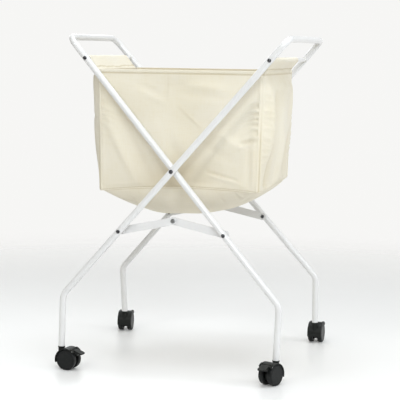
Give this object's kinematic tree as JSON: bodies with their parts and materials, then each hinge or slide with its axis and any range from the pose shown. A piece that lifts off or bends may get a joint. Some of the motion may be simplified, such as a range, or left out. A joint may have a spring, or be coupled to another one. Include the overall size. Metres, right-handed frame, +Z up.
{
  "type": "linen trolley",
  "caption": "Folding linen trolley: two crossed tube frames on twin-wheel casters with folding side braces, carrying an open cloth laundry bag on two rods.",
  "frame": {"origin": "on the floor, under the crossing of the frames and midway between front and back", "axes": "+Z up, +X to the right along the bag's width, +Y to the back along the rods and the handle bars"},
  "size_m": [0.5861, 0.6291, 0.8231],
  "materials": {
    "white_enamel": "smooth white powder coat",
    "white_links": "smooth white powder coat on flat bar",
    "rod_steel": "white powder coat on the bag rods",
    "black_bolts": "blackened steel",
    "plated_steel": "zinc plated",
    "black_nylon": "moulded black nylon",
    "black_tread": "moulded black wheel",
    "white_nylon": "natural nylon",
    "cream_canvas": "plain woven cream canvas"
  },
  "bodies": {
    "crossing": {"crossing_bolts": "black_bolts", "crossing_washers": "white_nylon", "crossing_nuts": "black_bolts"},
    "outer_frame": {"outer_frame": "white_enamel", "outer_bag_rod": "rod_steel", "outer_rod_plugs": "white_nylon", "outer_rod_screws": "black_bolts", "outer_brace_bolts": "black_bolts", "outer_brace_spacers": "white_nylon", "outer_brace_nuts": "black_bolts", "outer_sleeve": "cream_canvas", "front_left_leg_insert": "black_nylon", "front_left_caster_stem": "plated_steel", "back_left_leg_insert": "black_nylon", "back_left_caster_stem": "plated_steel"},
    "inner_frame": {"inner_frame": "white_enamel", "inner_bag_rod": "rod_steel", "inner_rod_plugs": "white_nylon", "inner_rod_screws": "black_bolts", "inner_brace_bolts": "black_bolts", "inner_brace_spacers": "white_nylon", "inner_brace_nuts": "black_bolts", "inner_sleeve": "cream_canvas", "front_right_leg_insert": "black_nylon", "front_right_caster_stem": "plated_steel", "back_right_leg_insert": "black_nylon", "back_right_caster_stem": "plated_steel"},
    "front_outer_link": {"front_outer_link": "white_links", "front_rivet_head": "plated_steel"},
    "front_inner_link": {"front_inner_link": "white_links", "front_rivet_tail": "plated_steel"},
    "back_outer_link": {"back_outer_link": "white_links", "back_rivet_head": "plated_steel"},
    "back_inner_link": {"back_inner_link": "white_links", "back_rivet_tail": "plated_steel"},
    "bag": {"bag": "cream_canvas"},
    "front_left_caster": {"front_left_caster_hood": "black_nylon", "front_left_caster_axle": "plated_steel", "front_left_lever_pin": "plated_steel"},
    "front_left_left_wheel": {"front_left_left_wheel": "black_tread"},
    "front_left_right_wheel": {"front_left_right_wheel": "black_tread"},
    "front_left_brake_lever": {"front_left_brake_lever": "black_nylon"},
    "front_right_caster": {"front_right_caster_hood": "black_nylon", "front_right_caster_axle": "plated_steel", "front_right_lever_pin": "plated_steel"},
    "front_right_left_wheel": {"front_right_left_wheel": "black_tread"},
    "front_right_right_wheel": {"front_right_right_wheel": "black_tread"},
    "front_right_brake_lever": {"front_right_brake_lever": "black_nylon"},
    "back_left_caster": {"back_left_caster_hood": "black_nylon", "back_left_caster_axle": "plated_steel", "back_left_lever_pin": "plated_steel"},
    "back_left_left_wheel": {"back_left_left_wheel": "black_tread"},
    "back_left_right_wheel": {"back_left_right_wheel": "black_tread"},
    "back_left_brake_lever": {"back_left_brake_lever": "black_nylon"},
    "back_right_caster": {"back_right_caster_hood": "black_nylon", "back_right_caster_axle": "plated_steel", "back_right_lever_pin": "plated_steel"},
    "back_right_left_wheel": {"back_right_left_wheel": "black_tread"},
    "back_right_right_wheel": {"back_right_right_wheel": "black_tread"},
    "back_right_brake_lever": {"back_right_brake_lever": "black_nylon"}
  },
  "joints": [
    {"name": "fold", "type": "hinge", "parent": "crossing", "child": "outer_frame", "pos_m": [0, 0, 0.4945], "axis": [0, -1, 0], "range_deg": [0, 24], "deforming": ["bag", "outer_sleeve", "inner_sleeve"]},
    {"name": "fold_inner", "type": "hinge", "parent": "crossing", "child": "inner_frame", "pos_m": [0, 0, 0.4945], "axis": [0, 1, 0], "range_deg": [0, 24]},
    {"name": "bag_lift", "type": "slide", "parent": "crossing", "child": "bag", "axis": [0, 0, 1], "range_m": [0, 0.072]},
    {"name": "front_outer_link_turn", "type": "hinge", "parent": "outer_frame", "child": "front_outer_link", "pos_m": [-0.13082, -0.21249, 0.34454], "axis": [0, -1, 0], "range_deg": [0, 27.99]},
    {"name": "front_inner_link_turn", "type": "hinge", "parent": "inner_frame", "child": "front_inner_link", "pos_m": [0.13082, -0.20909, 0.34454], "axis": [0, 1, 0], "range_deg": [0, 27.99]},
    {"name": "back_outer_link_turn", "type": "hinge", "parent": "outer_frame", "child": "back_outer_link", "pos_m": [-0.13082, 0.21249, 0.34454], "axis": [0, -1, 0], "range_deg": [0, 27.99]},
    {"name": "back_inner_link_turn", "type": "hinge", "parent": "inner_frame", "child": "back_inner_link", "pos_m": [0.13082, 0.20909, 0.34454], "axis": [0, 1, 0], "range_deg": [0, 27.99]},
    {"name": "swivel_front_left", "type": "hinge", "parent": "outer_frame", "child": "front_left_caster", "pos_m": [-0.27048, -0.25411, 0.053], "axis": [0, 0, 1], "continuous": true},
    {"name": "wheel_front_left_left", "type": "hinge", "parent": "front_left_caster", "child": "front_left_left_wheel", "pos_m": [-0.25068, -0.25689, 0.025], "axis": [0.1392, 0.9903, 0], "continuous": true},
    {"name": "wheel_front_left_right", "type": "hinge", "parent": "front_left_caster", "child": "front_left_right_wheel", "pos_m": [-0.25068, -0.25689, 0.025], "axis": [0.1392, 0.9903, 0], "continuous": true},
    {"name": "brake_front_left", "type": "hinge", "parent": "front_left_caster", "child": "front_left_brake_lever", "pos_m": [-0.2326, -0.25943, 0.04754], "axis": [0.1392, 0.9903, 0], "range_deg": [0, 16]},
    {"name": "swivel_front_right", "type": "hinge", "parent": "inner_frame", "child": "front_right_caster", "pos_m": [0.27048, -0.25559, 0.053], "axis": [0, 0, 1], "continuous": true},
    {"name": "wheel_front_right_left", "type": "hinge", "parent": "front_right_caster", "child": "front_right_left_wheel", "pos_m": [0.26203, -0.27371, 0.025], "axis": [0.9063, -0.4226, 0], "continuous": true},
    {"name": "wheel_front_right_right", "type": "hinge", "parent": "front_right_caster", "child": "front_right_right_wheel", "pos_m": [0.26203, -0.27371, 0.025], "axis": [0.9063, -0.4226, 0], "continuous": true},
    {"name": "brake_front_right", "type": "hinge", "parent": "front_right_caster", "child": "front_right_brake_lever", "pos_m": [0.25432, -0.29025, 0.04754], "axis": [0.9063, -0.4226, 0], "range_deg": [0, 16]},
    {"name": "swivel_back_left", "type": "hinge", "parent": "outer_frame", "child": "back_left_caster", "pos_m": [-0.27048, 0.25411, 0.053], "axis": [0, 0, 1], "continuous": true},
    {"name": "wheel_back_left_left", "type": "hinge", "parent": "back_left_caster", "child": "back_left_left_wheel", "pos_m": [-0.27292, 0.27396, 0.025], "axis": [-0.9925, -0.1219, 0], "continuous": true},
    {"name": "wheel_back_left_right", "type": "hinge", "parent": "back_left_caster", "child": "back_left_right_wheel", "pos_m": [-0.27292, 0.27396, 0.025], "axis": [-0.9925, -0.1219, 0], "continuous": true},
    {"name": "brake_back_left", "type": "hinge", "parent": "back_left_caster", "child": "back_left_brake_lever", "pos_m": [-0.27514, 0.29207, 0.04754], "axis": [-0.9925, -0.1219, 0], "range_deg": [0, 16]},
    {"name": "swivel_back_right", "type": "hinge", "parent": "inner_frame", "child": "back_right_caster", "pos_m": [0.27048, 0.25559, 0.053], "axis": [0, 0, 1], "continuous": true},
    {"name": "wheel_back_right_left", "type": "hinge", "parent": "back_right_caster", "child": "back_right_left_wheel", "pos_m": [0.27118, 0.27558, 0.025], "axis": [-0.9994, 0.0349, 0], "continuous": true},
    {"name": "wheel_back_right_right", "type": "hinge", "parent": "back_right_caster", "child": "back_right_right_wheel", "pos_m": [0.27118, 0.27558, 0.025], "axis": [-0.9994, 0.0349, 0], "continuous": true},
    {"name": "brake_back_right", "type": "hinge", "parent": "back_right_caster", "child": "back_right_brake_lever", "pos_m": [0.27182, 0.29381, 0.04754], "axis": [-0.9994, 0.0349, 0], "range_deg": [0, 16]}
  ],
  "couplings": [
    {"joint": "fold_inner", "follows": "fold", "ratio": 1},
    {"joint": "bag_lift", "follows": "fold", "m_per_rad": 0.17187},
    {"joint": "front_outer_link_turn", "follows": "fold", "ratio": 1.1659},
    {"joint": "front_inner_link_turn", "follows": "fold", "ratio": 1.1659},
    {"joint": "back_outer_link_turn", "follows": "fold", "ratio": 1.1659},
    {"joint": "back_inner_link_turn", "follows": "fold", "ratio": 1.1659}
  ]
}
